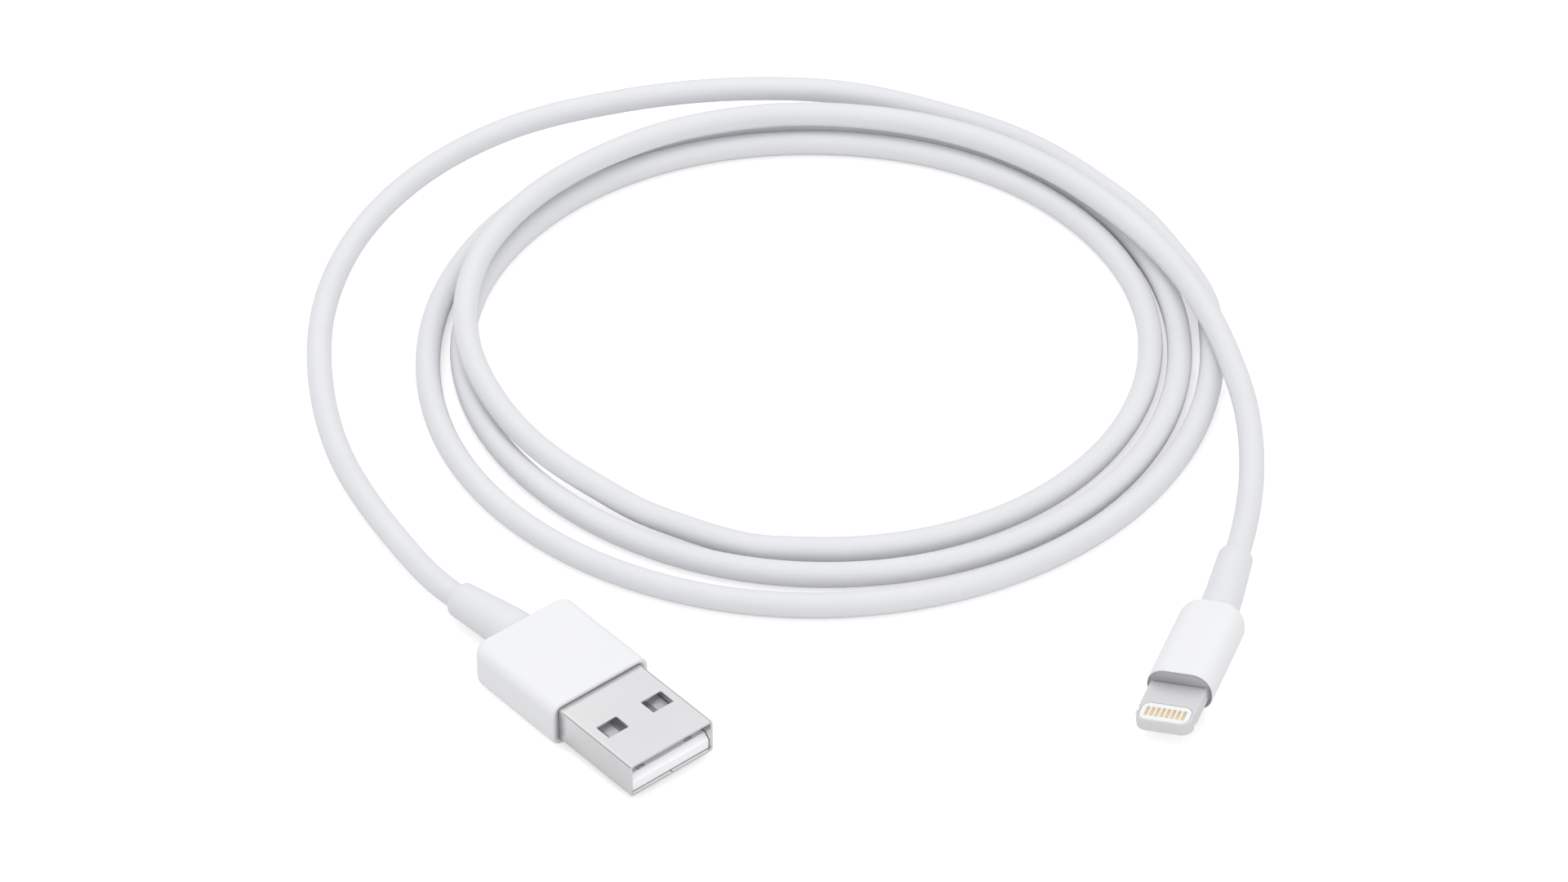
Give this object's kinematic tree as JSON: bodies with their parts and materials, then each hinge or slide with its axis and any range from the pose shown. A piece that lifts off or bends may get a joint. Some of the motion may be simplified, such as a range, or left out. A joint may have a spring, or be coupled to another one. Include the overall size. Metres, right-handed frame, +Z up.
{
  "type": "charging cable",
  "caption": "White round charging cable lying in loose loops, with a flat metal-shelled USB type A plug at one end and a small reversible tab plug at the other, both in white covers.",
  "frame": {"origin": "on the table, z = 0, under the middle of the box round the two plugs with their strain reliefs (the loops of cord are left out of that box and lie towards +Y)", "axes": "+X from the USB plug's side to the tab plug's side, +Y towards the loops, away from someone who looks at the plugs, +Z up from the table"},
  "size_m": [0.1147, 0.1291, 0.0066],
  "materials": {
    "nickel_plate": "bright nickel plate with fine drawing lines",
    "satin_nickel": "satin nickel plate",
    "gold_plate": "pale gold plate",
    "white_plastic": "glossy white",
    "white_jacket": "satin white soft jacket",
    "insert_white": "satin pure white",
    "grey_plastic": "matte mid grey",
    "light_grey_plastic": "matte light grey",
    "ivory_plastic": "matte ivory",
    "tinned_sheet": "dull tin plate",
    "tinned_braid": "dull woven wire",
    "solder": "bright solder",
    "board_green": "green solder mask",
    "chip_black": "matte black",
    "ceramic_tan": "matte tan",
    "wire_red": "red insulation",
    "wire_white": "white insulation",
    "wire_green": "green insulation",
    "wire_black": "black insulation"
  },
  "bodies": {
    "cable": {"usb_lead": "white_jacket", "cable_coil": "white_jacket", "tab_lead": "white_jacket"},
    "usb_plug": {"usb_shell": "nickel_plate", "usb_tongue": "insert_white", "usb_rear_block": "light_grey_plastic", "usb_contact_vbus": "satin_nickel", "usb_contact_data_minus": "satin_nickel", "usb_contact_data_plus": "satin_nickel", "usb_contact_ground": "satin_nickel", "usb_solder_joints": "solder", "usb_wire_red": "wire_red", "usb_wire_white": "wire_white", "usb_wire_green": "wire_green", "usb_wire_black": "wire_black", "usb_can_top": "tinned_sheet", "usb_can_bottom": "tinned_sheet", "usb_crimp": "tinned_sheet", "usb_braid": "tinned_braid", "usb_inner_mould": "ivory_plastic", "usb_cover": "white_plastic", "usb_cord_end": "white_jacket", "usb_strain_relief": "white_jacket"},
    "tab_plug": {"tab_frame": "satin_nickel", "tab_insert": "insert_white", "tab_collar": "grey_plastic", "tab_contacts_top": "gold_plate", "tab_contacts_bottom": "gold_plate", "tab_board": "board_green", "tab_controller_chip": "chip_black", "tab_power_chip": "chip_black", "tab_capacitors": "ceramic_tan", "tab_solder_joints": "solder", "tab_wire_red": "wire_red", "tab_wire_white": "wire_white", "tab_wire_green": "wire_green", "tab_wire_black": "wire_black", "tab_can_top": "tinned_sheet", "tab_can_bottom": "tinned_sheet", "tab_crimp": "tinned_sheet", "tab_braid": "tinned_braid", "tab_inner_mould": "ivory_plastic", "tab_cover": "white_plastic", "tab_cord_end": "white_jacket", "tab_strain_relief": "white_jacket"}
  },
  "joints": [
    {"name": "usb_relief_bend", "type": "hinge", "parent": "cable", "child": "usb_plug", "pos_m": [-0.04163, 0.00803, 0.00295], "axis": [0, 0, 1], "range_deg": [-45, 30], "stiffness_Nm_per_rad": 0.06, "deforming": ["usb_strain_relief", "usb_cord_end"]},
    {"name": "tab_relief_bend", "type": "hinge", "parent": "cable", "child": "tab_plug", "pos_m": [0.0432, 0.014, 0.00267], "axis": [0, 0, 1], "range_deg": [-45, 45], "stiffness_Nm_per_rad": 0.035, "deforming": ["tab_strain_relief", "tab_cord_end"]}
  ]
}
